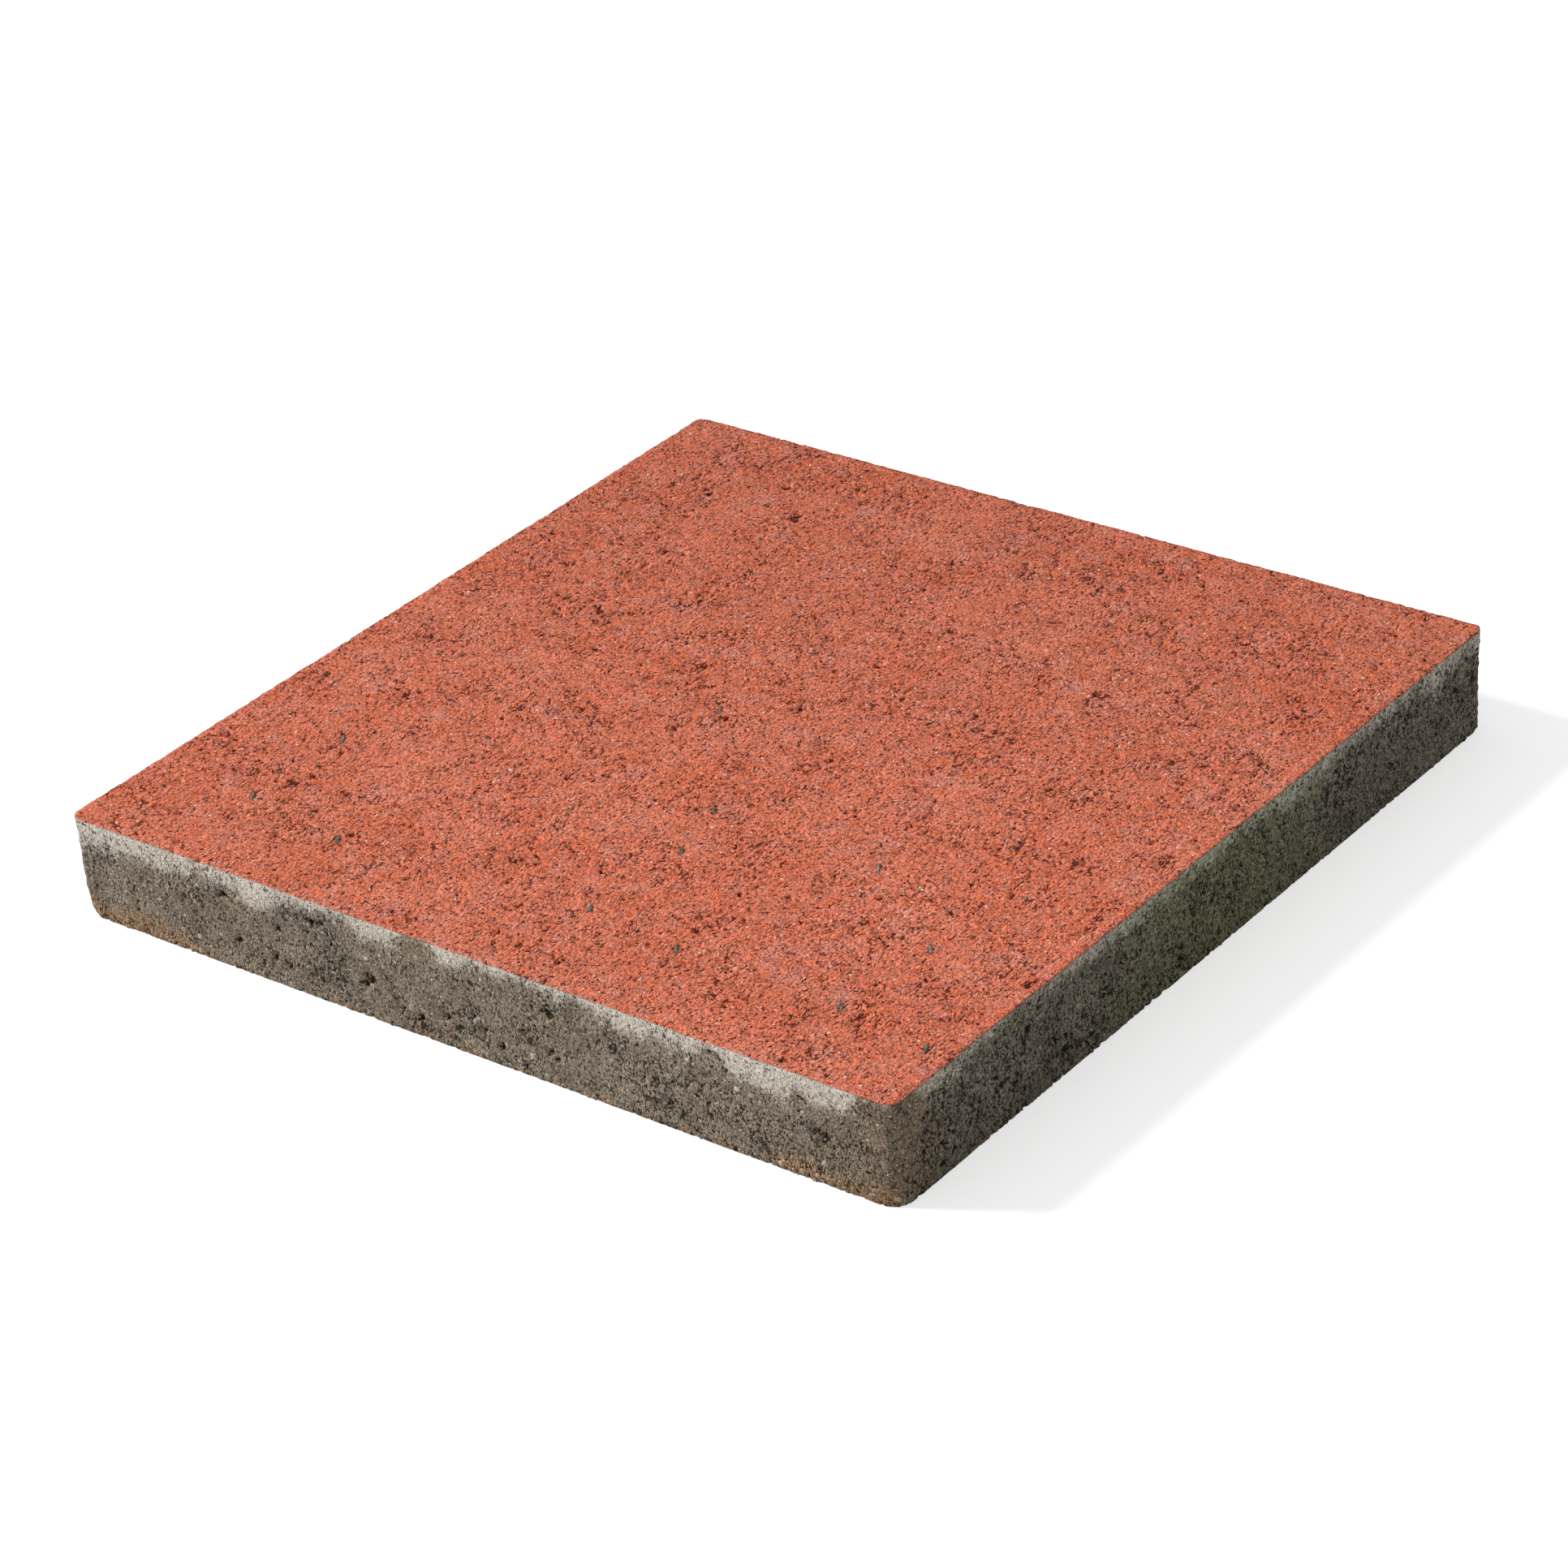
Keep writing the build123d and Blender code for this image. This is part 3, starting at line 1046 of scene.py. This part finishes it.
def aim_camera():
    """The photograph's view. The azimuth counts from the front, to the right if positive."""
    azimuth, elevation, roll = radians(39.95), radians(29.85), radians(-5.145)
    distance, pan_right, pan_down = 2.0171, -0.0037, -0.0132
    ahead = Vector((-sin(azimuth) * cos(elevation), cos(azimuth) * cos(elevation), -sin(elevation)))
    level_right = ahead.cross(Vector((0, 0, 1))).normalized()
    level_up = level_right.cross(ahead)
    right = level_right * cos(roll) + level_up * sin(roll)
    up = level_up * cos(roll) - level_right * sin(roll)
    data = bpy.data.cameras.new("camera")
    data.sensor_width = 36.0
    data.lens = 116.03
    camera = place_in_scene("camera", data)
    turn = Matrix((right, up, -ahead)).transposed().to_4x4()
    place = -ahead * distance + right * pan_right - up * pan_down
    camera.matrix_world = Matrix.Translation(place) @ turn
    bpy.context.scene.camera = camera


def light_studio():
    """A broad lamp from the left and above, and an even fill from all round."""
    data = bpy.data.lights.new("key", "SUN")
    data.energy = key_strength * pi
    data.angle = key_spread
    key = place_in_scene("key", data)
    key.rotation_euler = key_from.to_track_quat("Z", "Y").to_euler()

    world = bpy.data.worlds.new("studio")
    bpy.context.scene.world = world
    world.use_nodes = True
    n = Nodes(world.node_tree)
    background = world.node_tree.nodes["Background"]
    to_camera = n.add("ShaderNodeLightPath", {}).outputs["Is Camera Ray"]
    background.inputs["Color"].default_value = (1, 1, 1, 1)
    world.node_tree.links.new(n.mix(to_camera, fill_strength, 1.0), background.inputs["Strength"])


def lay_floor():
    """A pale floor, white to the camera except in the stone's shadow."""
    reach = 30.0
    corners = reach * np.array([(-1, -1, 0), (1, -1, 0), (1, 1, 0), (-1, 1, 0)])
    floor = place_in_scene("floor", mesh_from("floor", corners, np.array([[0, 1, 2, 3]])))
    material, n, shader = new_material("floor_paint")
    tree = material.node_tree
    tree.nodes.remove(shader)
    matt = n.add("ShaderNodeBsdfDiffuse", {"Color": (floor_grey, floor_grey, floor_grey, 1)})
    to_camera = n.add("ShaderNodeLightPath", {}).outputs["Is Camera Ray"]
    glow = n.add("ShaderNodeEmission", {"Color": (1, 1, 1, 1), "Strength": n.times(to_camera, floor_glow)})
    both = n.add("ShaderNodeAddShader", {0: matt.outputs[0], 1: glow.outputs[0]})
    tree.links.new(both.outputs[0], tree.nodes["Material Output"].inputs["Surface"])
    floor.data.materials.append(material)


aim_camera()
light_studio()
lay_floor()

body = stone_body()
surface = surface_of(body)
sand = sand_grains()
pieces = [(body, concrete()), (face_grains(surface), sand), (side_grains(surface, body), sand),
          (dark_slivers(surface), sliver_stone())]
for piece, material in pieces:
    piece.data.materials.append(material)
    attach(piece, "root")
    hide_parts("paving_slab")

bpy.context.scene.view_settings.view_transform = "Standard"
